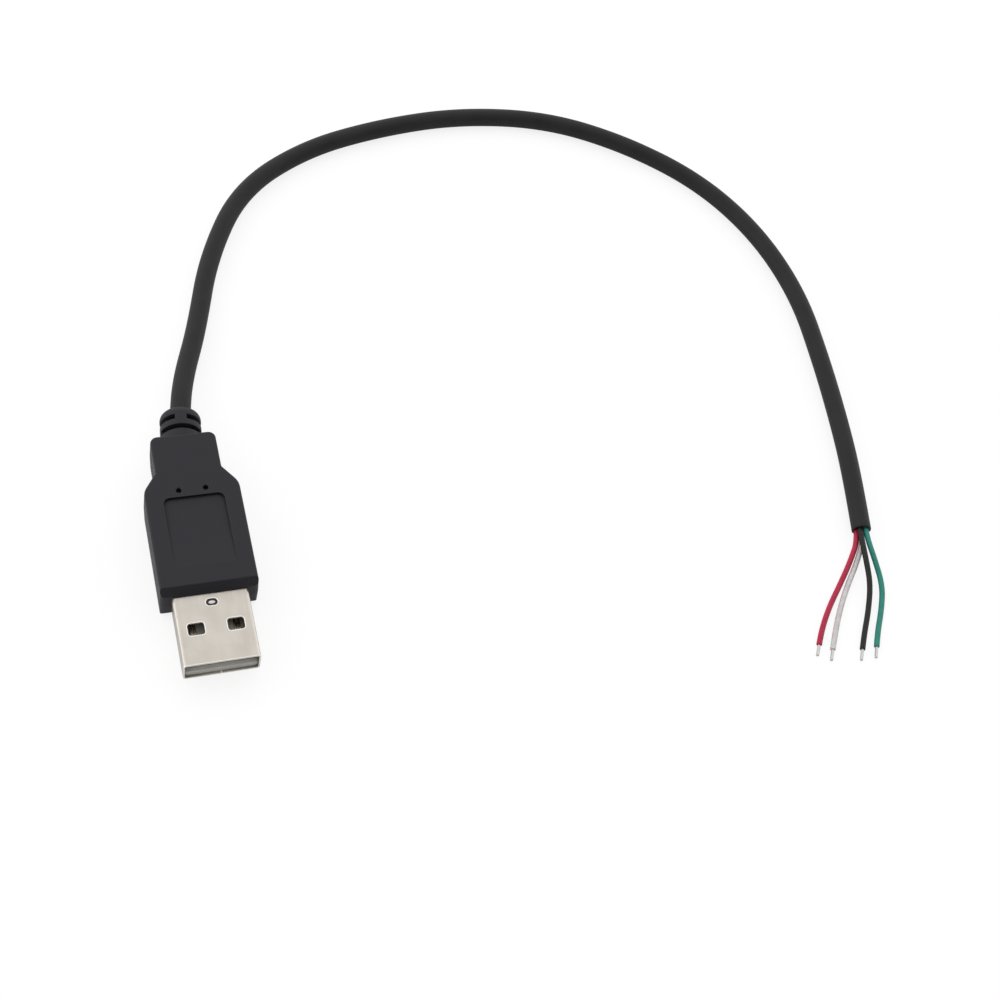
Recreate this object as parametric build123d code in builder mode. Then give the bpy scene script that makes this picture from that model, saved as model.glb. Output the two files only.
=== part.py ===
"""A short plug lead: a flat four-contact plug on one end, four stripped and tinned wires on the other.

Millimetres. The origin is the middle of the plug's mouth. +Y runs from the mouth to the cable and +Z is up.
The table that the lead lies on is half the housing's height below the origin.
"""

import os
from math import pi, radians, tan

from build123d import *

# Metal shell: one folded sheet, measured from the mouth.
shell_width = 12.0
shell_height = 4.5
shell_wall = 0.3
shell_corner = 0.5
shell_length = 18.75
shell_shows = 11.9
shell_rim = 0.1
window_rim = 0.07
window_width = 2.6
window_length = 2.05
window_corner = 0.45
window_spacing = 6.2
window_back = 6.1
latch_length = 1.8
latch_width = 1.15
latch_back = 10.4
seam_gap = 0.08
seam_back = 8.2
seam_tooth = 0.8
seam_tooth_reach = 1.1

# Contact carrier: a moulded tongue with a block on its back half that fills the shell.
fit_gap = 0.05
tongue_thickness = 1.84
tongue_set_back = 0.4
tongue_lead_in = 0.45
block_front = 9.4
ledge_past_shell = 3.25
ledge_width = 9.2
boss_reach = 0.2

# Contacts: four stamped strips, of which the outer two start nearer the mouth.
contact_width = 1.0
contact_thickness = 0.3
contact_proud = 0.05
contact_tip_drop = 0.5
outer_contact_x = 3.5
outer_contact_front = 1.4
inner_contact_x = 1.0
inner_contact_front = 2.4
tail_set_back = 0.4

# Solder joints: tinned strands lying in a small heap of solder on each contact's tail.
strand_diameter = 0.55
solder_length = 1.9
solder_width = 0.96
solder_height = 0.66
solder_corner = 0.4
solder_round = 0.2
solder_set_back = 0.3
solder_bare = 0.5

# Wires: insulated, square in the jacket, stripped and tinned at their free ends.
wire_diameter = 1.0
wire_gap = 0.02
wire_bend = 6.0
wire_stub = 1.2
strip_length = 2.3
tip_round = 0.12
fan_stub = 2.62
fan_gather = 1.64

# Cable jacket: a tube, gripped at its end by the inner mould.
jacket_diameter = 3.5
jacket_wall = 0.5
jacket_grip = 3.4

# Inner mould: the block that locks the soldered joints before the housing is moulded over it.
inner_width = 11.0
inner_height = 5.6
inner_block_length = 10.6
inner_taper_length = 3.2
inner_neck_width = 6.6
inner_neck_length = 6.2
inner_corner = 0.8

# Housing: one soft moulding with a wide body, shoulders and a neck, all with draft from a middle parting line.
housing_width = 15.6
housing_height = 8.0
housing_body_length = 19.0
shoulder_length = 3.3
neck_width = 10.9
neck_length = 7.0
draft = 1.5
front_slope_back = 1.0
front_slope_down = 1.5
front_corner = 0.7
shoulder_corner = 3.2
neck_inner_corner = 0.6
neck_corner = 1.3
housing_edge = 0.4

# Panel: a recess in the top face whose floor rises to the face again towards the shell.
panel_width = 9.8
panel_length = 12.9
panel_depth = 0.5
panel_middle_depth = 0.36
panel_corner = 1.1
panel_from_neck = 5.1
pin_mark_diameter = 0.85
pin_mark_depth = 0.8
pin_mark_rim = 0.1
pin_mark_spacing = 4.34
pin_mark_from_panel = 1.2

# Boot: a round stub, a rib and a domed end, with slots between them. The cable leans it to one side.
boot_diameter = 6.9
boot_lean = 5.8
boot_root = 1.5
boot_slot = 0.85
boot_rib = 1.15
boot_end = 2.09
boot_end_round = 1.6
boot_rim = 0.15
boot_slot_floor = 4.7
boot_bridge = 1.9

# Bends: the share of the shorter run beside it that each bend of a cord or wire takes up.
bend_share = 0.45

# Heights and lengths worked out from the sizes above.
table = -housing_height / 2
inner_floor = -shell_height / 2 + shell_wall
inside_top = shell_height / 2 - shell_wall - fit_gap
inside_width = shell_width - 2 * (shell_wall + fit_gap)
tongue_top = inner_floor + tongue_thickness
contact_top = tongue_top + contact_proud
contact_bottom = contact_top - contact_thickness
ledge_end = shell_length + ledge_past_shell
tail_end = ledge_end - tail_set_back
inner_taper_start = shell_length + inner_block_length
inner_neck_start = inner_taper_start + inner_taper_length
inner_mould_end = inner_neck_start + inner_neck_length
shoulder_start = shell_shows + housing_body_length
neck_start = shoulder_start + shoulder_length
neck_end = neck_start + neck_length
panel_end = neck_start - panel_from_neck
panel_start = panel_end - panel_length
boot_length = boot_root + 2 * boot_slot + boot_rib + boot_end

os.makedirs("parts", exist_ok=True)


def across(y):
    """The plane across the plug at y, seen from the mouth, so that a negative amount runs towards the cable."""
    return Plane.XZ.offset(-y)


def save(part, name):
    """Labels a finished piece and writes it to a file of its own."""
    part.label = name
    export_step(part, f"parts/{name}.step")


def bend_radii(points):
    """An even bend at each corner: its share of the shorter run beside it over the tangent of half the turn."""
    radii = []
    for before, corner, after in zip(points, points[1:], points[2:]):
        run_in = corner - before
        run_out = after - corner
        half_turn = radians(run_in.get_angle(run_out) / 2)
        radii.append(bend_share * min(run_in.length, run_out.length) / tan(half_turn))
    return radii


# The cord's centreline: out of the leaning boot, down to the table and round in one wide bend.
jacket_rest = table + jacket_diameter / 2
jacket_start = inner_mould_end - jacket_grip
boot_axis = Vector(0, 1, 0).rotate(Axis.Z, -boot_lean)
boot_tip = Vector(0, neck_end, 0) + boot_axis * boot_length
jacket_route = [
    Vector(0, jacket_start, 0),
    Vector(0, neck_end, 0),
    boot_tip,
    Vector(2.4, 55.6, -0.9),
    Vector(6.5, 66.8, jacket_rest),
    Vector(11.2, 83.0, jacket_rest),
    Vector(19.7, 98.8, jacket_rest),
    Vector(34.0, 108.4, jacket_rest),
    Vector(50.5, 113.1, jacket_rest),
    Vector(67.5, 115.2, jacket_rest),
    Vector(85.5, 113.0, jacket_rest),
    Vector(100.4, 105.5, jacket_rest),
    Vector(113.6, 94.1, jacket_rest),
    Vector(121.8, 79.6, jacket_rest),
    Vector(125.2, 62.6, jacket_rest),
    Vector(123.8, 45.0, jacket_rest),
    Vector(121.9, 30.5, jacket_rest),
    Vector(119.9, 19.5, jacket_rest),
    Vector(117.3, 8.7, jacket_rest),
]
jacket_radii = bend_radii(jacket_route)
print("jacket bends", [round(radius, 1) for radius in jacket_radii])

# Jacket form: a solid rod along the route, which also cuts the cord's seat in the mouldings round it.
with BuildPart() as jacket_form:
    with BuildLine() as jacket_line:
        FilletPolyline(*jacket_route, radius=jacket_radii)
    with BuildSketch(across(jacket_start)):
        Circle(jacket_diameter / 2)
    sweep()

with BuildPart() as cable_jacket:
    add(jacket_form.part)
    with BuildLine():
        FilletPolyline(*jacket_route, radius=jacket_radii)
    with BuildSketch(across(jacket_start)):
        Circle(jacket_diameter / 2 - jacket_wall)
    sweep(mode=Mode.SUBTRACT)
save(cable_jacket.part, "cable_jacket")

jacket_length = sum(edge.length for edge in jacket_line.edges())
print("jacket length", round(jacket_length, 1), "rod volume", round(jacket_form.part.volume, 1))
print("section times length", round(pi * (jacket_diameter / 2) ** 2 * jacket_length, 1))

# Metal shell: a folded sleeve with two windows in each broad side, a latch hole and a toothed seam underneath.
with BuildPart() as shell_form:
    with BuildSketch(across(0)):
        RectangleRounded(shell_width, shell_height, shell_corner)
    extrude(amount=-shell_length)

with BuildPart() as metal_shell:
    add(shell_form.part)
    with BuildSketch(across(0)):
        RectangleRounded(
            shell_width - 2 * shell_wall,
            shell_height - 2 * shell_wall,
            shell_corner - shell_wall,
        )
    extrude(amount=-shell_length, mode=Mode.SUBTRACT)
    fillet(metal_shell.faces().sort_by(Axis.Y)[0].edges(), shell_rim)
    with BuildSketch(Plane.XY):
        with Locations((-window_spacing / 2, window_back), (window_spacing / 2, window_back)):
            RectangleRounded(window_width, window_length, window_corner)
    extrude(amount=shell_height, both=True, mode=Mode.SUBTRACT)
    with BuildSketch(Plane.XY):
        with Locations((0, latch_back)):
            SlotOverall(latch_length, latch_width)
    extrude(amount=shell_height, mode=Mode.SUBTRACT)
    broad_sides = metal_shell.faces().filter_by(Axis.Z).sort_by(Axis.Z)
    for broad_side in [broad_sides[0], broad_sides[-1]]:
        for opening in broad_side.inner_wires():
            fillet(opening.edges(), window_rim)
    with BuildSketch(Plane.XY):
        with BuildLine():
            Polyline(
                (0, 0),
                (0, seam_back),
                (-seam_tooth / 2, seam_back),
                (-seam_tooth, seam_back + seam_tooth_reach),
                (seam_tooth, seam_back + seam_tooth_reach),
                (seam_tooth / 2, seam_back + 2 * seam_tooth_reach),
                (0, seam_back + 2 * seam_tooth_reach),
                (0, shell_length),
            )
        trace(line_width=seam_gap)
    extrude(amount=-shell_height, mode=Mode.SUBTRACT)
save(metal_shell.part, "metal_shell")

# Contacts: where each strip lies across the plug, and how far from the mouth it starts.
contact_places = {
    "ground": (-outer_contact_x, outer_contact_front),
    "data_plus": (-inner_contact_x, inner_contact_front),
    "data_minus": (inner_contact_x, inner_contact_front),
    "power": (outer_contact_x, outer_contact_front),
}


def contact_side(front, clearance=0):
    """A contact from the side: a flat strip whose front tip turns down into the tongue."""
    Polyline(
        (front - clearance, contact_bottom - contact_tip_drop - clearance),
        (front - clearance, contact_top - contact_thickness / 2),
        (front - clearance + contact_thickness / 2, contact_top + clearance),
        (tail_end + clearance, contact_top + clearance),
        (tail_end + clearance, contact_bottom),
        (front + contact_thickness + clearance, contact_bottom),
        (front + contact_thickness + clearance, contact_bottom - contact_tip_drop - clearance),
        close=True,
    )


contacts = {}
for place, (x, front) in contact_places.items():
    with BuildPart() as contact:
        with BuildSketch(Plane.YZ.offset(x)):
            with BuildLine():
                contact_side(front)
            make_face()
        extrude(amount=contact_width / 2, both=True)
    contacts[place] = contact.part
    save(contact.part, f"contact_{place}")

# Contact carrier: its side view drawn out to the shell's width, with a groove for each contact and a latch boss.
with BuildPart() as contact_carrier:
    with BuildSketch(Plane.YZ):
        with BuildLine():
            Polyline(
                (tongue_set_back, inner_floor),
                (tongue_set_back, tongue_top - tongue_lead_in),
                (tongue_set_back + tongue_lead_in, tongue_top),
                (block_front, tongue_top),
                (block_front, inside_top),
                (shell_length, inside_top),
                (shell_length, inner_floor),
                close=True,
            )
        make_face()
    extrude(amount=inside_width / 2, both=True)
    long_edges = contact_carrier.edges().filter_by(Axis.Y).group_by(Axis.Z)
    chamfer(long_edges[0] + long_edges[-1], shell_corner - shell_wall)
    with BuildSketch(across(shell_length)):
        with Locations((0, (inner_floor + tongue_top) / 2)):
            Rectangle(ledge_width, tongue_thickness)
    extrude(amount=-ledge_past_shell)
    with BuildSketch(Plane.XY.offset(inside_top)):
        with Locations((0, latch_back)):
            SlotOverall(latch_length - 2 * fit_gap, latch_width - 2 * fit_gap)
    extrude(amount=fit_gap + boss_reach)
    for x, front in contact_places.values():
        with BuildSketch(Plane.YZ.offset(x)):
            with BuildLine():
                contact_side(front, fit_gap)
            make_face()
        extrude(amount=contact_width / 2 + fit_gap, both=True, mode=Mode.SUBTRACT)
save(contact_carrier.part, "contact_carrier")

# Solder joints: a rounded heap on each tail, round the wire's bare strands.
strand_rest = contact_top + strand_diameter / 2
solder_end = tail_end - solder_set_back
solder_start = solder_end - solder_length
wire_start = solder_end + solder_set_back + tail_set_back + solder_bare
solder_joints = {}
for place, (x, front) in contact_places.items():
    with BuildPart() as solder_joint:
        with BuildSketch(Plane.XY.offset(contact_top)):
            with Locations((x, (solder_start + solder_end) / 2)):
                RectangleRounded(solder_width, solder_length, solder_corner)
        extrude(amount=solder_height)
        fillet(solder_joint.faces().sort_by(Axis.Z)[-1].edges(), solder_round)
        with BuildSketch(across(solder_start + solder_corner)):
            with Locations((x, strand_rest)):
                Circle(strand_diameter / 2)
        extrude(amount=-(wire_start - solder_start - solder_corner))
    solder_joints[place] = solder_joint.part
    save(solder_joint.part, f"solder_joint_{place}")

# Wires: each one's contact, its corner of the square bundle as seen along the cord, and its hand-laid tail.
# A tail's points are x, y and the height over the table, and its last one is the bare tip.
bundle_step = (wire_diameter + wire_gap) / 2
wire_rest = wire_diameter / 2
wire_places = {
    "red": (
        "power",
        (1, -1),
        [
            (112.9, 3.0, 0.95),
            (109.4, -0.9, 0.6),
            (105.8, -4.7, wire_rest),
            (102.6, -8.9, wire_rest),
            (100.1, -13.3, wire_rest),
        ],
    ),
    "white": (
        "data_minus",
        (-1, -1),
        [
            (114.3, 2.8, 0.75),
            (110.7, -1.4, wire_rest),
            (107.5, -5.7, wire_rest),
            (104.7, -10.2, wire_rest),
            (102.3, -14.6, wire_rest),
        ],
    ),
    "green": (
        "data_plus",
        (-1, 1),
        [
            (117.5, 2.6, 1.75),
            (117.3, -2.4, 1.05),
            (115.6, -6.5, 0.55),
            (112.9, -11.0, wire_rest),
            (110.7, -15.5, wire_rest),
        ],
    ),
    "black": (
        "ground",
        (1, 1),
        [
            (115.4, 1.6, 2.05),
            (114.9, -2.0, 1.25),
            (112.9, -6.5, 0.65),
            (110.2, -11.0, wire_rest),
            (107.8, -15.5, wire_rest),
        ],
    ),
}


def right_of(run):
    """The level direction to the right of a run."""
    return Vector(run.Y, -run.X, 0).normalized()


def beside(points, right, up):
    """The same route moved sideways and up, so that each of its runs stays parallel to the first one's."""
    moved = []
    for before, corner, after in zip(points, points[1:], points[2:]):
        side_in = right_of(corner - before)
        side_out = right_of(after - corner)
        mitre = (side_in + side_out) * (1 / (1 + side_in.dot(side_out)))
        moved.append(corner + mitre * right + Vector(0, 0, up))
    last_run = points[-1] - points[-2]
    stub_end = points[-1] + last_run.normalized() * wire_stub
    moved.append(stub_end + right_of(last_run) * right + Vector(0, 0, up))
    return moved


# Crossings: the ground wire passes over the others and one data wire under: x, share of the fan's length, height.
crossings = {
    "ground": [(-0.65, 0.53, 1.52), (0.43, 0.74, 1.09)],
    "data_minus": [(0.25, 0.6, -0.66)],
}


def fan_route(place, right, up):
    """From a solder joint to its corner of the bundle, ready to go into the jacket's end."""
    x = contact_places[place][0]
    first = wire_start + fan_stub
    last = jacket_start - fan_gather
    route = [Vector(x, wire_start, strand_rest), Vector(x, first, strand_rest)]
    for cross_x, share, height in crossings.get(place, []):
        route.append(Vector(cross_x, first + (last - first) * share, height))
    return route + [Vector(right, last, up)]


wires = {}
for colour, (place, (right, up), tail) in wire_places.items():
    right = right * bundle_step
    up = up * bundle_step
    fan = fan_route(place, right, up)
    along = beside(jacket_route, right, up)
    route = fan + along + [Vector(x, y, table + height) for x, y, height in tail]
    tip = route[-1]
    last_way = (tip - route[-2]).normalized()
    route[-1] = tip - last_way * strip_length
    radii = bend_radii(route)
    stub_corner = len(fan + along) - 2
    for i in [*range(len(fan) - 1), stub_corner]:
        radii[i] = min(radii[i], wire_bend)
    print(colour, "bends", [round(radius, 1) for radius in radii])
    with BuildPart() as wire:
        with BuildLine() as wire_line:
            FilletPolyline(*route, radius=radii)
        with BuildSketch(across(wire_start)):
            with Locations((contact_places[place][0], strand_rest)):
                Circle(wire_diameter / 2)
        sweep()
    wires[colour] = wire.part
    wire_length = sum(edge.length for edge in wire_line.edges())
    print(colour, "length", round(wire_length, 1), "volume", round(wire.part.volume, 1), end=" ")
    print("section times length", round(pi * (wire_diameter / 2) ** 2 * wire_length, 1))
    save(wire.part, f"{colour}_wire")

    with BuildPart() as tinned_end:
        with BuildSketch(Plane(origin=route[-1], z_dir=last_way)):
            Circle(strand_diameter / 2)
        extrude(amount=strip_length)
        fillet(tinned_end.faces().sort_by(Axis(route[-1], last_way))[-1].edges(), tip_round)
    save(tinned_end.part, f"{colour}_tinned_end")

# Inner mould: a flat block that tapers to a neck round the jacket, cut by everything that it holds.
with BuildPart() as inner_form:
    with BuildSketch(Plane.XY.offset(-inner_height / 2)):
        with BuildLine():
            Polyline(
                (inner_width / 2, shell_length),
                (inner_width / 2, inner_taper_start),
                (inner_neck_width / 2, inner_neck_start),
                (inner_neck_width / 2, inner_mould_end),
                (-inner_neck_width / 2, inner_mould_end),
                (-inner_neck_width / 2, inner_neck_start),
                (-inner_width / 2, inner_taper_start),
                (-inner_width / 2, shell_length),
                close=True,
            )
        make_face()
    extrude(amount=inner_height)
    fillet(inner_form.edges().filter_by(Axis.Y), inner_corner)

with BuildPart() as inner_mould:
    add(inner_form.part)
    add(contact_carrier.part, mode=Mode.SUBTRACT)
    add(jacket_form.part, mode=Mode.SUBTRACT)
    for held in [*contacts.values(), *solder_joints.values(), *wires.values()]:
        add(held, mode=Mode.SUBTRACT)
save(inner_mould.part, "inner_mould")

# Panel cut: a wedge with a curved floor under the top face, deepest at the cable end, where its corners are round.
with BuildPart() as panel_cut:
    with BuildSketch(Plane.YZ):
        with BuildLine():
            Polyline(
                (panel_start, housing_height / 2),
                (panel_start, housing_height),
                (panel_end, housing_height),
                (panel_end, housing_height / 2 - panel_depth),
            )
            ThreePointArc(
                (panel_end, housing_height / 2 - panel_depth),
                ((panel_start + panel_end) / 2, housing_height / 2 - panel_middle_depth),
                (panel_start, housing_height / 2),
            )
        make_face()
    extrude(amount=panel_width / 2, both=True)
    fillet(panel_cut.faces().sort_by(Axis.Y)[-1].edges().filter_by(Axis.Z), panel_corner)

# Boot form: a round bar along the leaning cable, domed at its end, with two slots that leave opposite bridges.
boot_plane = Plane(origin=(0, neck_end, 0), x_dir=right_of(boot_axis), z_dir=boot_axis)
boot_slots = {
    boot_root: (boot_diameter, boot_bridge),
    boot_root + boot_slot + boot_rib: (boot_bridge, boot_diameter),
}
with BuildPart() as boot_form:
    with BuildSketch(boot_plane.offset(-boot_root)):
        Circle(boot_diameter / 2)
    extrude(amount=boot_root + boot_length)
    fillet(boot_form.faces().sort_by(Axis.Y)[-1].edges(), boot_end_round)
    for start, (bridge_width, bridge_height) in boot_slots.items():
        with BuildSketch(boot_plane.offset(start)):
            Circle(boot_diameter)
            Circle(boot_slot_floor / 2, mode=Mode.SUBTRACT)
            Rectangle(bridge_width, bridge_height, mode=Mode.SUBTRACT)
        extrude(amount=boot_slot, mode=Mode.SUBTRACT)
    fillet(boot_form.edges().filter_by(GeomType.CIRCLE).group_by(SortBy.RADIUS)[-1], boot_rim)

# Overmould: the plan outline drawn up and down with draft, its front edges sloped, then seats cut for what it holds.
with BuildPart() as overmould:
    with BuildSketch(Plane.XY):
        with BuildLine():
            FilletPolyline(
                (0, shell_shows),
                (housing_width / 2, shell_shows),
                (housing_width / 2, shoulder_start),
                (neck_width / 2, neck_start),
                (neck_width / 2, neck_end),
                (0, neck_end),
                radius=[front_corner, shoulder_corner, neck_inner_corner, neck_corner],
            )
            mirror(about=Plane.YZ)
        make_face()
    extrude(amount=housing_height / 2, taper=draft)
    mirror(about=Plane.XY)
    with BuildSketch(Plane.YZ):
        with BuildLine():
            Polyline(
                (shell_shows + front_slope_back, housing_height / 2),
                (shell_shows, housing_height / 2 - front_slope_down),
                (shell_shows, -housing_height / 2 + front_slope_down),
                (shell_shows + front_slope_back, -housing_height / 2),
                (neck_end, -housing_height / 2),
                (neck_end, housing_height / 2),
                close=True,
            )
        make_face()
    extrude(amount=housing_width, both=True, mode=Mode.INTERSECT)
    broad_faces = overmould.faces().filter_by(Axis.Z)
    fillet(broad_faces.edges(), housing_edge)
    add(boot_form.part)
    add(panel_cut.part, mode=Mode.SUBTRACT)
    with Locations(
        (-pin_mark_spacing / 2, panel_end + pin_mark_from_panel, housing_height / 2),
        (pin_mark_spacing / 2, panel_end + pin_mark_from_panel, housing_height / 2),
    ):
        CounterSinkHole(
            radius=pin_mark_diameter / 2,
            counter_sink_radius=pin_mark_diameter / 2 + pin_mark_rim,
            depth=pin_mark_depth,
            counter_sink_angle=90,
        )
    for held in [shell_form.part, inner_form.part, jacket_form.part]:
        add(held, mode=Mode.SUBTRACT)
save(overmould.part, "overmould")
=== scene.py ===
# %% [markdown]
# A short plug lead on a pale table: a flat metal plug in a dark moulded housing, a round cable that
# leaves it through a slotted boot, and four thin wires that fan out of the cable's cut end with bare,
# tinned tips.
#
# The hard pieces come from the construction model at their real size, and this file gives them their
# finishes. The soft pieces, which are the cable and its wires, are drawn here along smooth lines.

# %% Load the frame
from math import cos, pi, radians, sin

import bmesh
import bpy
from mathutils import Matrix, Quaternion, Vector, noise


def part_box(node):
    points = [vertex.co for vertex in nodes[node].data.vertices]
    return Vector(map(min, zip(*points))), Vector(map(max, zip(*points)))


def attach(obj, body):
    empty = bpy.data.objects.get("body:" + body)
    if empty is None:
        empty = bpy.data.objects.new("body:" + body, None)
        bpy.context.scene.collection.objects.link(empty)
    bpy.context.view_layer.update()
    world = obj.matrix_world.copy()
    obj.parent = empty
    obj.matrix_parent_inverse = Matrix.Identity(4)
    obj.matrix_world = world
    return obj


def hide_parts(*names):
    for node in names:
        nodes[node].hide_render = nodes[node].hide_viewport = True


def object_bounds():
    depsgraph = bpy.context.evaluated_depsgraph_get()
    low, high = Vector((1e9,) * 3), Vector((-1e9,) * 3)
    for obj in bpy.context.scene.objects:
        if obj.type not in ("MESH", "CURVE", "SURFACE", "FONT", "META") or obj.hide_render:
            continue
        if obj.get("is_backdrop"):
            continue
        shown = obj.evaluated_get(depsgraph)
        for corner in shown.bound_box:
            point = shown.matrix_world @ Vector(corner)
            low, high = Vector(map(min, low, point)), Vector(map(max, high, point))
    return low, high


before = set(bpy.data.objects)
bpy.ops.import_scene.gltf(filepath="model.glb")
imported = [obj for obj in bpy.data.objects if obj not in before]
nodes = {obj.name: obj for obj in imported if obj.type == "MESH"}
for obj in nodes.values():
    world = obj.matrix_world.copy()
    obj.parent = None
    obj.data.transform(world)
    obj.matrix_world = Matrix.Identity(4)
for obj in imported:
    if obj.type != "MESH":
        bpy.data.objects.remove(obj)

cad_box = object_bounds()
mm = 0.001
print("pieces in the construction model:", len(nodes))

# %% [markdown]
# The camera stands in front of the plug, to its left, and looks down at the table at a steep angle. It is
# also turned about its own line of sight, so the lead seems to hang from the upper left. A look-at point
# and a roll angle say this more plainly than three rotation angles do.

# %% Place the camera
camera_place = Vector((-23.83, -97.27, 215.56)) * mm
looks_at = Vector((52.90, 25.47, -4.0)) * mm
camera_roll = radians(20.29)

camera_data = bpy.data.cameras.new("camera")
camera_data.lens = 54
camera_data.sensor_width = 36
camera_data.clip_start = 0.01
camera = bpy.data.objects.new("camera", camera_data)
bpy.context.scene.collection.objects.link(camera)
camera.location = camera_place
camera.rotation_mode = "QUATERNION"
level_view = (looks_at - camera_place).to_track_quat("-Z", "Y")
camera.rotation_quaternion = level_view @ Quaternion((0, 0, 1), camera_roll)
bpy.context.scene.camera = camera
print("camera to the table's middle:", round((looks_at - camera_place).length / mm), "mm")

# %% [markdown]
# The cable is the piece that the picture is mostly made of. It could be a curve with a bevel, but its cut
# end has to show a wall and a bore, so it is a mesh skinned round a smooth line. The line is a spline
# steered by the same points that the construction model uses: out of the boot, down to the table and
# round in one wide bend.

# %% The cable's line
table = -4.0
cable_radius = 1.75
cable_wall = 0.5
lies_at = table + cable_radius
cable_points = [
    Vector((0, 35.35, 0)),
    Vector((0, 41.2, 0)),
    Vector((0.651, 47.607, 0)),
    Vector((2.4, 55.6, -0.9)),
    Vector((6.5, 66.8, lies_at)),
    Vector((11.2, 83.0, lies_at)),
    Vector((19.7, 98.8, lies_at)),
    Vector((34.0, 108.4, lies_at)),
    Vector((50.5, 113.1, lies_at)),
    Vector((67.5, 115.2, lies_at)),
    Vector((85.5, 113.0, lies_at)),
    Vector((100.4, 105.5, lies_at)),
    Vector((113.6, 94.1, lies_at)),
    Vector((121.8, 79.6, lies_at)),
    Vector((125.2, 62.6, lies_at)),
    Vector((123.8, 45.0, lies_at)),
    Vector((121.9, 30.5, lies_at)),
    Vector((119.9, 19.5, lies_at)),
    Vector((117.3, 8.7, lies_at)),
]


def smooth_row(name, points, fineness):
    """Steers a smooth line with points in millimetres and reads it back as a row of points in metres."""
    curve = bpy.data.curves.new(name, "CURVE")
    curve.dimensions = "3D"
    curve.resolution_u = fineness
    spline = curve.splines.new("NURBS")
    spline.points.add(len(points) - 1)
    for control, point in zip(spline.points, points):
        control.co = (*(point * mm), 1)
    spline.order_u = 3
    spline.use_endpoint_u = True
    holder = bpy.data.objects.new(name, curve)
    line = bpy.data.meshes.new_from_object(holder)
    row = [vertex.co.copy() for vertex in line.vertices]
    bpy.data.meshes.remove(line)
    bpy.data.objects.remove(holder)
    bpy.data.curves.remove(curve)
    return row


def row_length(row):
    """The length of a row of points."""
    return sum((after - before).length for before, after in zip(row, row[1:]))


cable_row = smooth_row("cable_line", cable_points, fineness=16)
print("cable:", len(cable_row), "points,", round(row_length(cable_row) / mm, 1), "mm")

# %% [markdown]
# The cable, the wires and their tips are all skinned in the same way: rings stand square to the line, and
# each ring is given by its place along the line and its radius. A hollow tube is one closed loop of such
# rings, out along the outside and back along the bore, and a solid rod starts and ends with a radius of
# nothing. Each vertex also remembers where it would be if the cord were laid straight, so a finish can
# run lengthwise round every bend.

# %% Skin a form round a line


def ring_frames(row):
    """At each point of a row, its place, the way on, and two directions square to it that never twist."""
    ways = [(after - before).normalized() for before, after in zip(row, row[1:])]
    ways.append(ways[-1])
    side = ways[0].cross(Vector((0, 0, 1))).normalized()
    frames = []
    for place, before, after in zip(row, [ways[0], *ways], ways):
        way = (before + after).normalized()
        side = (side - way * side.dot(way)).normalized()
        frames.append((place, way, side, side.cross(way)))
    return frames


def piece_from(form, name):
    """Turns a drawn form into a smoothly shaded piece that rides with the plug."""
    bmesh.ops.recalc_face_normals(form, faces=form.faces)
    mesh = bpy.data.meshes.new(name)
    form.to_mesh(mesh)
    form.free()
    mesh.shade_smooth()
    piece = bpy.data.objects.new(name, mesh)
    bpy.context.scene.collection.objects.link(piece)
    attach(piece, "root")
    return piece


def skin_round(name, row, steps, sides, shape=None):
    """Skins a closed form from steps of (index in the row, shift along it, radius), in metres.
    shape(index, angle, radius, shift) may return another radius and shift for one vertex."""
    frames = ring_frames(row)
    run = [0.0]
    for before, after in zip(row, row[1:]):
        run.append(run[-1] + (after - before).length)
    form = bmesh.new()
    straight = form.verts.layers.float_vector.new("laid_straight")
    rings = []
    for index, shift, radius in steps:
        place, way, side, up = frames[index]
        if radius == 0:
            vertex = form.verts.new(place + way * shift)
            vertex[straight] = (0, 0, run[index] + shift)
            rings.append([vertex])
            continue
        ring = []
        for k in range(sides):
            angle = 2 * pi * k / sides
            here, on = shape(index, angle, radius, shift) if shape else (radius, shift)
            out = side * cos(angle) + up * sin(angle)
            vertex = form.verts.new(place + way * on + out * here)
            vertex[straight] = (cos(angle) * here, sin(angle) * here, run[index] + on)
            ring.append(vertex)
        rings.append(ring)
    joined = list(zip(rings, rings[1:]))
    if len(rings[0]) > 1:
        joined.append((rings[-1], rings[0]))
    for first, second in joined:
        for k in range(sides):
            corners = [first[k % len(first)], first[(k + 1) % len(first)]]
            corners += [second[(k + 1) % len(second)], second[k % len(second)]]
            form.faces.new(dict.fromkeys(corners))
    return piece_from(form, name)


def rounded_end(index, radius, rounding):
    """Steps for a rim that turns in by a small quarter circle at the far end of a form."""
    arc = [radians(degrees) for degrees in (0, 30, 60, 90)]
    return [(index, rounding * (sin(turn) - 1), radius - rounding * (1 - cos(turn))) for turn in arc]


print("skinning is ready")

# %% [markdown]
# The cable's jacket is extruded plastic, so its outside is nearly perfect: only very slow swellings show
# that four wires lie under it. Its end was cut by hand, which leaves the rim a little uneven. Slow noise
# moves the radius by a hundredth of a millimetre, and quicker noise moves the last rim to and fro.

# %% The cable's jacket
swell = 0.014 * mm
swell_pace = 0.11
ragged = 0.09 * mm
ragged_pace = 2.3
ragged_slice = 7.0
rim = 0.12 * mm
cable_sides = 40
cable_last = len(cable_row) - 1


def cable_shape(index, angle, radius, shift):
    """Slow swellings all along, which fade out underneath, and an uneven cut at the end."""
    topside = 0.5 + 0.5 * sin(angle)
    lump = topside * noise.noise(Vector((cos(angle), sin(angle), index * swell_pace)))
    swollen = radius + swell * lump
    if index < cable_last:
        return swollen, shift
    notch = noise.noise(Vector((ragged_pace * cos(angle), ragged_pace * sin(angle), ragged_slice)))
    return swollen, shift + ragged * notch


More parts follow.
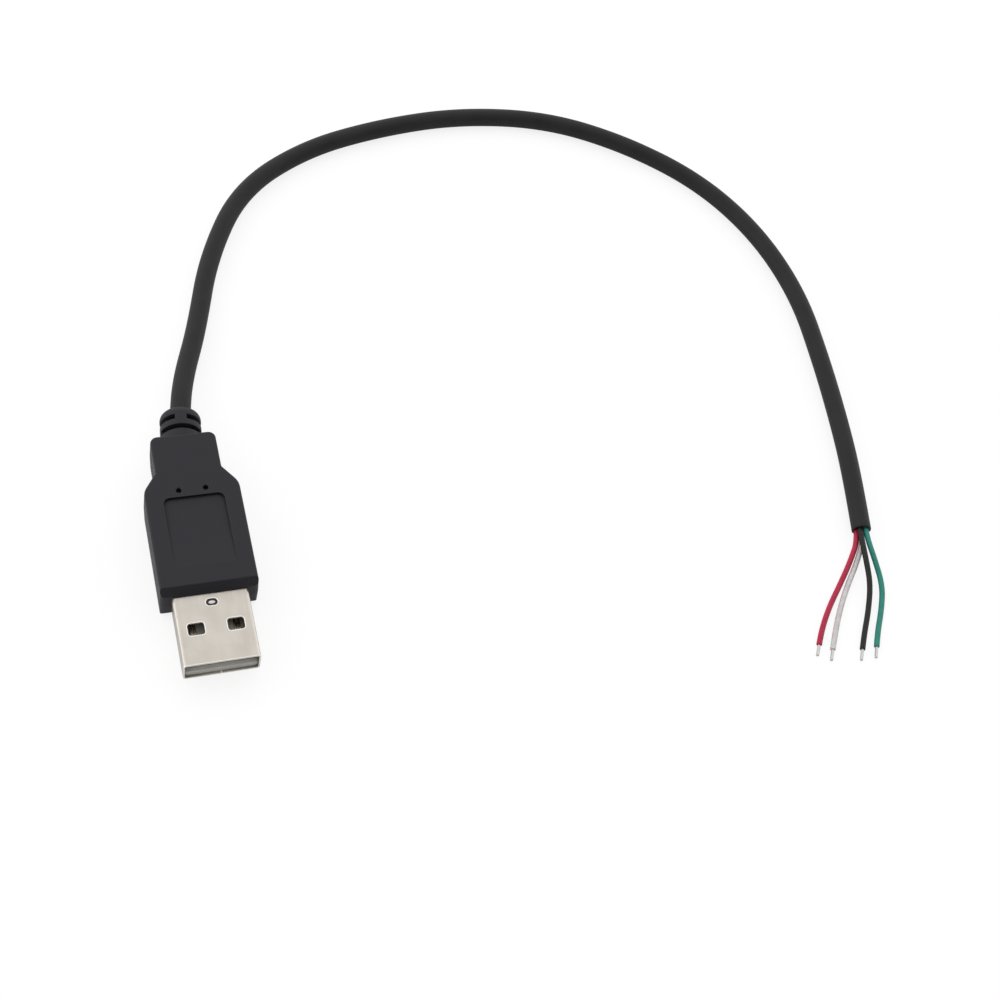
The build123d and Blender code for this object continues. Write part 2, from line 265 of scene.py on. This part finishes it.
outer = cable_radius * mm
bore = (cable_radius - cable_wall) * mm
cable_steps = [(index, 0, outer) for index in range(cable_last)]
cable_steps += rounded_end(cable_last, outer, rim)
cable_steps += [(cable_last, 0, bore + rim / 2), (cable_last, -rim / 2, bore)]
cable_steps += [(index, 0, bore) for index in reversed(range(cable_last))]
cable = skin_round("cable_jacket_skin", cable_row, cable_steps, cable_sides, cable_shape)
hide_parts("cable_jacket")
print("cable jacket:", len(cable.data.polygons), "faces")

# %% [markdown]
# Four insulated wires run the whole length of the cable as a square bundle. Each starts at its solder
# joint in the plug, gathers into its corner of the square, follows the cable, and is laid by hand where
# it comes out. Their routes are worked out beside the cable's own points, so the bundle stays together in
# every bend.

# %% The wires' lines
wire_start = 22.5
strand_rest = 0.215
fan_first = 25.12
fan_last = 33.71
wire_stub = 1.2
strip_length = 2.3
bundle_step = 0.51
joint_x = {"red": 3.5, "white": 1.0, "green": -1.0, "black": -3.5}
corners = {"red": (1, -1), "white": (-1, -1), "green": (-1, 1), "black": (1, 1)}
crossings = {
    "black": [Vector((-0.65, 29.673, 1.52)), Vector((0.43, 31.477, 1.09))],
    "white": [Vector((0.25, 30.274, -0.66))],
}
tails = {
    "red": [
        (112.9, 3.0, 0.95),
        (109.4, -0.9, 0.6),
        (105.8, -4.7, 0.5),
        (102.6, -8.9, 0.5),
        (100.1, -13.3, 0.5),
    ],
    "white": [
        (114.3, 2.8, 0.75),
        (110.7, -1.4, 0.5),
        (107.5, -5.7, 0.5),
        (104.7, -10.2, 0.5),
        (102.3, -14.6, 0.5),
    ],
    "green": [
        (117.5, 2.6, 1.75),
        (117.3, -2.4, 1.05),
        (115.6, -6.5, 0.55),
        (112.9, -11.0, 0.5),
        (110.7, -15.5, 0.5),
    ],
    "black": [
        (115.4, 1.6, 2.05),
        (114.9, -2.0, 1.25),
        (112.9, -6.5, 0.65),
        (110.2, -11.0, 0.5),
        (107.8, -15.5, 0.5),
    ],
}


def level_right(run):
    """The level direction to the right of a run."""
    return Vector((run.y, -run.x, 0)).normalized()


def beside_cable(right, up):
    """The cable's points moved sideways and up, with a short straight stub past its end."""
    lift = Vector((0, 0, up))
    moved = []
    for before, corner, after in zip(cable_points, cable_points[1:], cable_points[2:]):
        side_in = level_right(corner - before)
        side_out = level_right(after - corner)
        mitre = (side_in + side_out) / (1 + side_in.dot(side_out))
        moved.append(corner + mitre * right + lift)
    last_run = cable_points[-1] - cable_points[-2]
    stub = last_run.normalized() * wire_stub
    moved.append(cable_points[-1] + stub + level_right(last_run) * right + lift)
    return moved


wire_points = {}
tip_ways = {}
for colour, (across, above) in corners.items():
    right = across * bundle_step
    up = above * bundle_step
    points = [Vector((joint_x[colour], along, strand_rest)) for along in (wire_start, fan_first)]
    points += crossings.get(colour, [])
    points.append(Vector((right, fan_last, up)))
    points += beside_cable(right, up)
    points += [Vector((x, y, table + height)) for x, y, height in tails[colour]]
    tip_ways[colour] = (points[-1] - points[-2]).normalized()
    points[-1] = points[-1] - tip_ways[colour] * strip_length
    wire_points[colour] = points
print("points for each wire:", {colour: len(points) for colour, points in wire_points.items()})

# %% [markdown]
# The insulation is a thin skin of coloured plastic, cut square by a stripping tool. The tool pinches it,
# so the cut edge turns in a little. The wire is thin enough to be a solid rod: its conductor only shows
# at the tip.

# %% The insulated wires
wire_radius = 0.5 * mm
pinch = 0.06 * mm
wire_sides = 16
wire_rows = {}
wires = {}
for colour, points in wire_points.items():
    row = smooth_row(colour + "_line", points, fineness=10)
    last = len(row) - 1
    steps = [(0, 0, 0)]
    steps += [(index, 0, wire_radius) for index in range(last)]
    steps += rounded_end(last, wire_radius, pinch)
    steps.append((last, -pinch, 0))
    wire = skin_round(colour + "_wire_skin", row, steps, wire_sides)
    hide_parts(colour + "_wire")
    wire_rows[colour] = row
    wires[colour] = wire
    print(colour, "wire:", round(row_length(row) / mm, 1), "mm,", len(wire.data.polygons), "faces")

# %% [markdown]
# Each tip is a bundle of fine copper strands, twisted together and dipped in solder. The solder fills the
# bundle, so it reads as one rod with shallow spiral flutes and a round blob of an end. A ring whose
# radius waves as it goes round, with the waves turning along the rod, gives that shape without making
# each strand.

# %% The tinned tips
tip_radius = 0.275 * mm
tip_root = 0.4 * mm
tip_length = tip_root + strip_length * mm
tip_rows = 30
tip_sides = 42
dome_rows = 4
dome_fullness = 3.2
dome_start = tip_rows - dome_rows - 1
strands = 7
flute = 0.028 * mm
flute_fade = 5
lay_length = 3.0 * mm


def strand_shape(index, angle, radius, shift):
    """Shallow flutes that spiral along the tip and fade out at its end."""
    along = index / (tip_rows - 1)
    turn = 2 * pi * along * tip_length / lay_length
    wave = 0.5 - 0.5 * cos(strands * (angle - turn))
    fade = min(1, (1 - along) * flute_fade)
    return radius - flute * fade * wave * radius / tip_radius, shift


tips = {}
for colour, row in wire_rows.items():
    way = tip_ways[colour]
    start = row[-1] - way * tip_root
    tip_row = [start + way * tip_length * k / (tip_rows - 1) for k in range(tip_rows)]
    steps = [(0, 0, 0)]
    steps += [(index, 0, tip_radius) for index in range(dome_start)]
    for k in range(dome_rows):
        share = k / dome_rows
        steps.append((dome_start + k, 0, tip_radius * (1 - share ** dome_fullness) ** 0.5))
    steps.append((tip_rows - 1, 0, 0))
    tip = skin_round(colour + "_tip", tip_row, steps, tip_sides, strand_shape)
    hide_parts(colour + "_tinned_end")
    tips[colour] = tip
print("tips:", len(tips), "with", strands, "flutes each")

# %% [markdown]
# A boss on the plastic carrier snaps into the oval hole behind the windows and locks the shell. Its
# middle stands up as a small crown, whose near-white finish is a painted highlight. A quarter of a circle,
# drawn as rings that shrink as they rise, gives a closed dome, and stretching the rings makes it oval.

# %% The crown of the latch boss
latch_place = Vector((0, 10.4)) * mm
crown_length = 1.1 * mm
crown_width = 0.58 * mm
crown_height = 0.09 * mm
crown_sunk = 0.02 * mm
crown_rings = 7
crown_sides = 36
boss_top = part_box("contact_carrier")[1][2]

form = bmesh.new()
rings = []
for k in range(crown_rings):
    turn = pi / 2 * k / crown_rings
    ring = []
    for side in range(crown_sides):
        angle = 2 * pi * side / crown_sides
        x = latch_place.x + crown_length / 2 * cos(angle) * cos(turn)
        y = latch_place.y + crown_width / 2 * sin(angle) * cos(turn)
        ring.append(form.verts.new((x, y, boss_top - crown_sunk + crown_height * sin(turn))))
    rings.append(ring)
peak = form.verts.new((latch_place.x, latch_place.y, boss_top - crown_sunk + crown_height))
form.faces.new(rings[0])
for lower, upper in zip(rings, rings[1:]):
    for side in range(crown_sides):
        after = (side + 1) % crown_sides
        form.faces.new((lower[side], lower[after], upper[after], upper[side]))
for side in range(crown_sides):
    form.faces.new((rings[-1][side], rings[-1][(side + 1) % crown_sides], peak))
crown = piece_from(form, "latch_boss_crown")
print("latch crown:", len(crown.data.polygons), "faces, on a boss", round(boss_top / mm, 2), "mm up")

# %% [markdown]
# Finishes are built from nodes on a real scale: one unit is a metre, so a noise scale of 9000 gives
# grains of about a tenth of a millimetre. Small helpers keep each finish short: a blank finish, a noise,
# a ramp that turns a noise into a narrow range of numbers or colours, and one that leads the result to
# the shader.
#
# Real edges are rubbed by hands and sockets, so one more helper finds them: it asks where a rounded edge
# would point and compares that with where the face points. On the shell it places painted highlights.
# Another finds the places that walls hide, where little light comes, and is used to paint shade there.

# %% Helpers for finishes


def blank_finish(name, colour, roughness, metallic=0.0, specular=0.5):
    """A new finish with its shader's plain values set."""
    finish = bpy.data.materials.new(name)
    finish.use_nodes = True
    shader = finish.node_tree.nodes["Principled BSDF"]
    shader.inputs["Base Color"].default_value = (*colour, 1)
    shader.inputs["Roughness"].default_value = roughness
    shader.inputs["Metallic"].default_value = metallic
    shader.inputs["Specular IOR Level"].default_value = specular
    return finish


def lead(finish, value, socket):
    """Leads a number, a colour or a direction to a socket of the finish's shader."""
    shader = finish.node_tree.nodes["Principled BSDF"]
    finish.node_tree.links.new(value, shader.inputs[socket])


def place_on(finish, stretch=(1, 1, 1), laid_straight=False):
    """Coordinates in metres, taken from the piece itself or from the cord as if it were laid straight."""
    nodes_of = finish.node_tree.nodes
    scaled = nodes_of.new("ShaderNodeMapping")
    scaled.inputs["Scale"].default_value = stretch
    if laid_straight:
        source = nodes_of.new("ShaderNodeAttribute")
        source.attribute_name = "laid_straight"
        finish.node_tree.links.new(source.outputs["Vector"], scaled.inputs["Vector"])
    else:
        source = nodes_of.new("ShaderNodeTexCoord")
        finish.node_tree.links.new(source.outputs["Object"], scaled.inputs["Vector"])
    return scaled.outputs["Vector"]


def grain(finish, where, scale, detail=2.0):
    """A noise of the given scale, from 0 to 1."""
    texture = finish.node_tree.nodes.new("ShaderNodeTexNoise")
    texture.inputs["Scale"].default_value = scale
    texture.inputs["Detail"].default_value = detail
    texture.inputs["Roughness"].default_value = 0.5
    finish.node_tree.links.new(where, texture.inputs["Vector"])
    return texture.outputs["Fac"]


def spread(finish, value, low, high, start=0.3, end=0.7):
    """Turns a value that runs from start to end into numbers from low to high."""
    node = finish.node_tree.nodes.new("ShaderNodeMapRange")
    node.inputs["From Min"].default_value = start
    node.inputs["From Max"].default_value = end
    node.inputs["To Min"].default_value = low
    node.inputs["To Max"].default_value = high
    finish.node_tree.links.new(value, node.inputs["Value"])
    return node.outputs["Result"]


def shades(finish, value, dark, light, start=0.3, end=0.7):
    """Turns a value that runs from start to end into colours between two shades."""
    ramp = finish.node_tree.nodes.new("ShaderNodeValToRGB")
    ramp.color_ramp.elements[0].position = start
    ramp.color_ramp.elements[0].color = (*dark, 1)
    ramp.color_ramp.elements[1].position = end
    ramp.color_ramp.elements[1].color = (*light, 1)
    finish.node_tree.links.new(value, ramp.inputs["Fac"])
    return ramp.outputs["Color"]


def near_edge(finish, reach, full=0.84, none=0.985):
    """How close a spot is to an edge: 0 on an open face, 1 right on the edge. The reach is in metres, and
    full and none are the agreements between the two directions at which the share is 1 and 0."""
    rounded = finish.node_tree.nodes.new("ShaderNodeBevel")
    rounded.samples = 10
    rounded.inputs["Radius"].default_value = reach
    face = finish.node_tree.nodes.new("ShaderNodeNewGeometry")
    agreement = finish.node_tree.nodes.new("ShaderNodeVectorMath")
    agreement.operation = "DOT_PRODUCT"
    finish.node_tree.links.new(rounded.outputs["Normal"], agreement.inputs[0])
    finish.node_tree.links.new(face.outputs["True Normal"], agreement.inputs[1])
    return spread(finish, agreement.outputs["Value"], low=1.0, high=0.0, start=full, end=none)


def sheltered(finish, reach, own_walls=False, hidden=0.2, clear=0.9):
    """How deep in a cavity a spot lies: 0 in the open, 1 where walls within the reach hide it. own_walls
    counts only the walls of the piece itself, and hidden and clear are the shares of open sky at which the
    answer is 1 and 0."""
    openness = finish.node_tree.nodes.new("ShaderNodeAmbientOcclusion")
    openness.samples = 8
    openness.only_local = own_walls
    openness.inputs["Distance"].default_value = reach
    return spread(finish, openness.outputs["AO"], low=1.0, high=0.0, start=hidden, end=clear)


def blend(finish, share, colour, other):
    """Mixes another colour into a colour by a share from 0 to 1."""
    mix = finish.node_tree.nodes.new("ShaderNodeMixRGB")
    mix.inputs["Color2"].default_value = (*other, 1)
    finish.node_tree.links.new(share, mix.inputs["Fac"])
    finish.node_tree.links.new(colour, mix.inputs["Color1"])
    return mix.outputs["Color"]


def relief(finish, heights):
    """Stacks bumps of (value, depth in metres, strength) and leads them to the shader's normal."""
    normal = None
    for value, depth, strength in heights:
        bump = finish.node_tree.nodes.new("ShaderNodeBump")
        bump.inputs["Distance"].default_value = depth
        bump.inputs["Strength"].default_value = strength
        finish.node_tree.links.new(value, bump.inputs["Height"])
        if normal:
            finish.node_tree.links.new(normal, bump.inputs["Normal"])
        normal = bump.outputs["Normal"]
    lead(finish, normal, "Normal")


def dress(piece, finish):
    """Puts one finish on a whole piece."""
    piece.data.materials.clear()
    piece.data.materials.append(finish)


print("helpers are ready")

# %% [markdown]
# The housing is soft plastic moulded in a spark-eroded tool, which leaves an even, very fine matt grain.
# Handling polishes it unevenly, so the roughness drifts over a few millimetres, and greys its edges a
# little. The creases of the panel and the slots of the boot are painted near black, as painted shade where
# their own walls hide them. A two-level bump gives the grain, and a slow noise drives the roughness and
# the greying of the faces.

# %% Finish of the housing
housing_shades = {"dark": (0.017, 0.017, 0.023), "light": (0.022, 0.022, 0.028)}
rubbed_grey = (0.032, 0.032, 0.037)
# Near black for painted shade in the creases and slots.
painted_crease_shade = (0.002, 0.002, 0.003)

housing_finish = blank_finish("matt_moulding", (0.019, 0.019, 0.025), roughness=0.5, specular=0.3)
where = place_on(housing_finish)
fine_grain = grain(housing_finish, where, scale=7000, detail=3.0)
coarse_grain = grain(housing_finish, where, scale=2400)
handling = grain(housing_finish, where, scale=260, detail=3.0)
rubbed_edges = near_edge(housing_finish, 0.22 * mm)
# Painted shade: where the housing's own walls hide the creases of the panel and the slots of the boot,
# they are painted near black.
crease_shade_share = sheltered(housing_finish, 0.6 * mm, own_walls=True)
tone = shades(housing_finish, handling, **housing_shades)
tone = blend(housing_finish, rubbed_edges, tone, rubbed_grey)
tone = blend(housing_finish, crease_shade_share, tone, painted_crease_shade)
lead(housing_finish, tone, "Base Color")
lead(housing_finish, spread(housing_finish, handling, low=0.46, high=0.58), "Roughness")
relief(housing_finish, [(coarse_grain, 0.006 * mm, 0.5), (fine_grain, 0.004 * mm, 0.6)])
dress(nodes["overmould"], housing_finish)
dress(nodes["inner_mould"], housing_finish)
print("housing finish:", len(housing_finish.node_tree.nodes), "nodes")

# %% [markdown]
# The jacket is the same dark plastic, but extruded through a die. It is a little smoother than the
# housing and carries faint lines along its length. The coordinates of the cord laid straight, squeezed
# along its length, stretch a noise into such lines.

# %% Finish of the cable
cable_shades = {"dark": (0.027, 0.027, 0.028), "light": (0.034, 0.033, 0.034)}

cable_finish = blank_finish("extruded_jacket", (0.029, 0.029, 0.030), roughness=0.42, specular=0.12)
along_cord = place_on(cable_finish, (1, 1, 0.03), laid_straight=True)
all_round = place_on(cable_finish, laid_straight=True)
die_lines = grain(cable_finish, along_cord, scale=3200)
fine_grain = grain(cable_finish, all_round, scale=6000)
handling = grain(cable_finish, all_round, scale=180, detail=3.0)
lead(cable_finish, shades(cable_finish, handling, **cable_shades), "Base Color")
lead(cable_finish, spread(cable_finish, handling, low=0.40, high=0.52), "Roughness")
relief(cable_finish, [(die_lines, 0.005 * mm, 0.5), (fine_grain, 0.003 * mm, 0.5)])
dress(cable, cable_finish)
print("cable finish:", len(cable_finish.node_tree.nodes), "nodes")

# %% [markdown]
# The wires' insulation is the same kind of plastic in bright colours. Thin plastic lets a little light
# in, so each gets a touch of light under its skin. One function makes all four, because only the colour
# differs.

# %% Finishes of the wires
insulation_colours = {
    "red": (0.50, 0.018, 0.064),
    "white": (0.72, 0.69, 0.69),
    "green": (0.030, 0.275, 0.220),
    "black": (0.014, 0.013, 0.012),
}
darkening = 0.88
lightening = 1.08


def insulation_finish(colour, shade):
    """Satin coloured plastic with faint lines along the wire."""
    finish = blank_finish(colour + "_plastic", shade, roughness=0.38, specular=0.3)
    shader = finish.node_tree.nodes["Principled BSDF"]
    shader.inputs["Subsurface Weight"].default_value = 0.12
    shader.inputs["Subsurface Radius"].default_value = (0.3, 0.2, 0.2)
    shader.inputs["Subsurface Scale"].default_value = 0.4 * mm
    lines = grain(finish, place_on(finish, (1, 1, 0.04), laid_straight=True), scale=6000)
    patches = grain(finish, place_on(finish, laid_straight=True), scale=700)
    darker = tuple(darkening * part for part in shade)
    lighter = tuple(min(1, lightening * part) for part in shade)
    lead(finish, shades(finish, patches, darker, lighter), "Base Color")
    lead(finish, spread(finish, patches, low=0.33, high=0.45), "Roughness")
    relief(finish, [(lines, 0.003 * mm, 0.5)])
    return finish


for colour, shade in insulation_colours.items():
    dress(wires[colour], insulation_finish(colour, shade))
print("wire finishes:", len(insulation_colours))

# %% [markdown]
# The shell is sheet steel with a dull nickel plate. Rolling the sheet left fine lines along the plug,
# plugging in and out has scuffed it in the same direction, and the plate is a little warm in colour.
# Noise that is squeezed along the plug gives both, once as a bump and once as roughness, and a slower
# noise clouds the plate. Round the mouth, the windows and the corners, where the sheet is cut and folded,
# the plate is painted near white as a painted highlight. Inside, where its own walls hide it, it is
# painted dark as painted shade.

# %% Finish of the shell
plate_shades = {"dark": (0.54, 0.50, 0.445), "light": (0.60, 0.56, 0.505)}
# Near white for a painted highlight along the shell's rims.
painted_rim_highlight = (0.96, 0.94, 0.89)
# Dark plate for painted shade deep inside the shell.
painted_inside_shade = (0.10, 0.095, 0.085)

shell_finish = blank_finish("nickel_plate", (0.57, 0.53, 0.475), roughness=0.3, metallic=1.0)
rolled = place_on(shell_finish, (1, 0.02, 1))
plain = place_on(shell_finish)
rolling_lines = grain(shell_finish, rolled, scale=9000, detail=3.0)
scuffs = grain(shell_finish, rolled, scale=1500)
clouds = grain(shell_finish, plain, scale=350, detail=4.0)
pits = grain(shell_finish, plain, scale=5200)
# Painted highlight: the rims round the mouth, the windows and the corners get a near-white plate.
rim_highlight_share = near_edge(shell_finish, 0.3 * mm, full=0.985, none=0.999)
# Painted shade: where the shell's own walls hide the plate, it is painted dark.
inside_shade_share = sheltered(shell_finish, 4.5 * mm, own_walls=True)
tone = shades(shell_finish, clouds, **plate_shades)
tone = blend(shell_finish, rim_highlight_share, tone, painted_rim_highlight)
tone = blend(shell_finish, inside_shade_share, tone, painted_inside_shade)
lead(shell_finish, tone, "Base Color")
lead(shell_finish, spread(shell_finish, scuffs, low=0.26, high=0.40), "Roughness")
relief(shell_finish, [(rolling_lines, 0.0025 * mm, 0.35), (pits, 0.002 * mm, 0.3)])
dress(nodes["metal_shell"], shell_finish)
print("shell finish:", len(shell_finish.node_tree.nodes), "nodes")

# %% [markdown]
# The mouth and the windows show a moulded carrier of off-white plastic. Deep inside the shell the plastic
# is painted dark, as painted shade. Its latch boss, the one part that stands above its flat top, sits in a
# narrow gap and is painted near black up to its near-white crown, as painted shade in that gap: the height
# of a spot tells the boss from the rest.

# %% Finishes of the carrier and its crown
carrier_shades = {"dark": (0.54, 0.52, 0.47), "light": (0.62, 0.60, 0.55)}
# Dark plastic for painted shade deep inside the shell.
painted_cavity_shade = (0.13, 0.12, 0.10)
# Near black for painted shade in the gap round the latch boss.
painted_gap_shade = (0.02, 0.018, 0.016)
boss_foot = boss_top - 0.12 * mm
boss_collar = boss_top - 0.08 * mm
# Near white for a painted highlight on the crown.
crown_highlight_shades = {"dark": (0.84, 0.83, 0.81), "light": (0.93, 0.92, 0.90)}

carrier_finish = blank_finish("carrier_plastic", (0.58, 0.56, 0.51), roughness=0.45)
flow = grain(carrier_finish, place_on(carrier_finish, (1, 0.2, 1)), scale=900)
height = carrier_finish.node_tree.nodes.new("ShaderNodeSeparateXYZ")
carrier_finish.node_tree.links.new(place_on(carrier_finish), height.inputs["Vector"])
on_boss = spread(
    carrier_finish, height.outputs["Z"], low=0.0, high=1.0, start=boss_foot, end=boss_collar
)
tone = shades(carrier_finish, flow, **carrier_shades)
# Painted shade: where walls within 2.5 mm hide the carrier, it is painted dark.
tone = blend(carrier_finish, sheltered(carrier_finish, 2.5 * mm), tone, painted_cavity_shade)
# Painted shade: below its crown the boss is painted near black, as the shadow in the gap round it.
tone = blend(carrier_finish, on_boss, tone, painted_gap_shade)
lead(carrier_finish, tone, "Base Color")
dress(nodes["contact_carrier"], carrier_finish)

# Painted highlight: the crown is near white, much lighter than the carrier it stands on.
crown_finish = blank_finish("crown_highlight_plastic", (0.90, 0.89, 0.87), roughness=0.3)
crown_grain = grain(crown_finish, place_on(crown_finish), scale=4000)
lead(crown_finish, shades(crown_finish, crown_grain, **crown_highlight_shades), "Base Color")
relief(crown_finish, [(crown_grain, 0.004 * mm, 0.4)])
dress(crown, crown_finish)
print("carrier finish:", len(carrier_finish.node_tree.nodes), "nodes")

# %% [markdown]
# The four contact strips are stamped from bright sheet and thinly plated, with fine lines along them from
# the stamping. The bare tips and the solder inside the plug share one dull, frosted tin.

# %% Finishes of the contacts and the tin
contact_finish = blank_finish("plated_strip", (0.84, 0.76, 0.62), roughness=0.26, metallic=1.0)
stamped = grain(contact_finish, place_on(contact_finish, (1, 0.05, 1)), scale=7000)
lead(contact_finish, spread(contact_finish, stamped, low=0.2, high=0.36), "Roughness")
relief(contact_finish, [(stamped, 0.002 * mm, 0.4)])

tin_finish = blank_finish("dull_tin", (0.60, 0.59, 0.57), roughness=0.38, metallic=1.0)
frost = grain(tin_finish, place_on(tin_finish), scale=8000, detail=3.0)
lead(tin_finish, spread(tin_finish, frost, low=0.26, high=0.44), "Roughness")
relief(tin_finish, [(frost, 0.006 * mm, 0.6)])

for name, node in nodes.items():
    if name.startswith("contact_") and name != "contact_carrier":
        dress(node, contact_finish)
    if name.startswith("solder_joint_"):
        dress(node, tin_finish)
for tip in tips.values():
    dress(tip, tin_finish)
print("contacts, solder and tips are finished")

# %% [markdown]
# The table is a plain pale plane. To the camera most of its shade is a flat white, and the rest is lit by
# the lamps, so the lead keeps a soft shadow under it without the light being raised. To the rays that a
# mirror or glass sends on, about a third of it is that white. Light that bounces off it onto the lead
# comes from plain paper.

# %% The table
floor_reach = 3.0
level = table * mm
paper_shade = (0.82, 0.82, 0.82)
glow_strength = 1.15
glow_shares = {"Is Camera Ray": 0.72, "Is Glossy Ray": 0.3, "Is Transmission Ray": 0.3}

floor_corners = [
    (-floor_reach, -floor_reach, level),
    (floor_reach, -floor_reach, level),
    (floor_reach, floor_reach, level),
    (-floor_reach, floor_reach, level),
]
floor_mesh = bpy.data.meshes.new("floor")
floor_mesh.from_pydata(floor_corners, [], [(0, 1, 2, 3)])
floor = bpy.data.objects.new("floor", floor_mesh)
bpy.context.scene.collection.objects.link(floor)
floor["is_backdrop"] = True

floor_finish = bpy.data.materials.new("pale_table")
floor_finish.use_nodes = True
tree = floor_finish.node_tree
tree.nodes.remove(tree.nodes["Principled BSDF"])
paper = tree.nodes.new("ShaderNodeBsdfDiffuse")
paper.inputs["Color"].default_value = (*paper_shade, 1)
glow = tree.nodes.new("ShaderNodeEmission")
glow.inputs["Color"].default_value = (1, 1, 1, 1)
glow.inputs["Strength"].default_value = glow_strength
rays = tree.nodes.new("ShaderNodeLightPath")
share_of_glow = None
for kind, share in glow_shares.items():
    part = tree.nodes.new("ShaderNodeMath")
    part.operation = "MULTIPLY_ADD"
    part.inputs[1].default_value = share
    part.inputs[2].default_value = 0.0
    tree.links.new(rays.outputs[kind], part.inputs[0])
    if share_of_glow:
        tree.links.new(share_of_glow, part.inputs[2])
    share_of_glow = part.outputs[0]
mixed = tree.nodes.new("ShaderNodeMixShader")
tree.links.new(share_of_glow, mixed.inputs[0])
tree.links.new(paper.outputs[0], mixed.inputs[1])
tree.links.new(glow.outputs[0], mixed.inputs[2])
tree.links.new(mixed.outputs[0], tree.nodes["Material Output"].inputs["Surface"])
floor_mesh.materials.append(floor_finish)
print("table at", level / mm, "mm")

# %% [markdown]
# A product picture like this is lit by three large, soft lamps. One hangs overhead, so level faces are
# light and those that lean towards the camera stay dark. Two stand low at the sides, and draw a thin
# light streak along both flanks of the cable.

# %% The lamps
lead_middle = (0.055, 0.045, 0.0)


def soft_lamp(name, place, size, power):
    """A square soft lamp that faces the lead, with sizes and places in metres and power in watts."""
    data = bpy.data.lights.new(name, "AREA")
    data.shape = "SQUARE"
    data.size = size
    data.energy = power
    lamp = bpy.data.objects.new(name, data)
    lamp.location = place
    lamp.rotation_mode = "QUATERNION"
    lamp.rotation_quaternion = (Vector(lead_middle) - Vector(place)).to_track_quat("-Z", "Y")
    bpy.context.scene.collection.objects.link(lamp)
    return lamp


lamps = [
    soft_lamp("overhead_lamp", place=(0.08, 0.52, 0.6), size=1.5, power=3.8),
    soft_lamp("left_lamp", place=(-0.75, 0.2, 0.32), size=0.8, power=2.2),
    soft_lamp("right_lamp", place=(0.95, 0.2, 0.32), size=0.8, power=1.8),
]
print("lamps:", [lamp.name for lamp in lamps])

# %% [markdown]
# The room is light above and behind the lead and dark on the camera's side, so its shade runs along one
# direction from a low level to a high one. Near the horizon its walls are white, as in a photographer's
# cove, so the lead stands on white from any side.

# %% The room
light_side = (0.0, 0.8, 0.6)
darkest_at = -0.6
lightest_at = 0.8
darkest = 0.12
lightest = 0.6
wall_shade = 1.0
wall_top = 0.06
wall_fade = 0.16

world = bpy.data.worlds.new("soft_room")
world.use_nodes = True
bpy.context.scene.world = world
sky = world.node_tree
room = sky.nodes["Background"]
room.inputs["Color"].default_value = (1, 1, 1, 1)
outward = sky.nodes.new("ShaderNodeTexCoord")
towards_light = sky.nodes.new("ShaderNodeVectorMath")
towards_light.operation = "DOT_PRODUCT"
towards_light.inputs[1].default_value = light_side
shade_of_room = sky.nodes.new("ShaderNodeMapRange")
shade_of_room.inputs["From Min"].default_value = darkest_at
shade_of_room.inputs["From Max"].default_value = lightest_at
shade_of_room.inputs["To Min"].default_value = darkest
shade_of_room.inputs["To Max"].default_value = lightest
above_floor = sky.nodes.new("ShaderNodeSeparateXYZ")
above_wall = sky.nodes.new("ShaderNodeMapRange")
above_wall.inputs["From Min"].default_value = wall_top
above_wall.inputs["From Max"].default_value = wall_top + wall_fade
strength = sky.nodes.new("ShaderNodeMix")
strength.inputs["A"].default_value = wall_shade
sky.links.new(outward.outputs["Generated"], towards_light.inputs[0])
sky.links.new(towards_light.outputs["Value"], shade_of_room.inputs["Value"])
sky.links.new(outward.outputs["Generated"], above_floor.inputs["Vector"])
sky.links.new(above_floor.outputs["Z"], above_wall.inputs["Value"])
sky.links.new(above_wall.outputs["Result"], strength.inputs["Factor"])
sky.links.new(shade_of_room.outputs["Result"], strength.inputs["B"])
sky.links.new(strength.outputs["Result"], room.inputs["Strength"])
bpy.context.scene.view_settings.view_transform = "Standard"
print("room:", len(sky.nodes), "nodes")

# %% [markdown]
# The two boxes are printed, so that the dressed lead can be compared with the construction model.

# %% Print the sizes
visual_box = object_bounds()
boxes = {
    "cad_box": [list(corner) for corner in cad_box],
    "visual_box": [list(corner) for corner in visual_box],
}
for name, box in boxes.items():
    print(name, "in mm:", [[round(value / mm, 2) for value in corner] for corner in box])
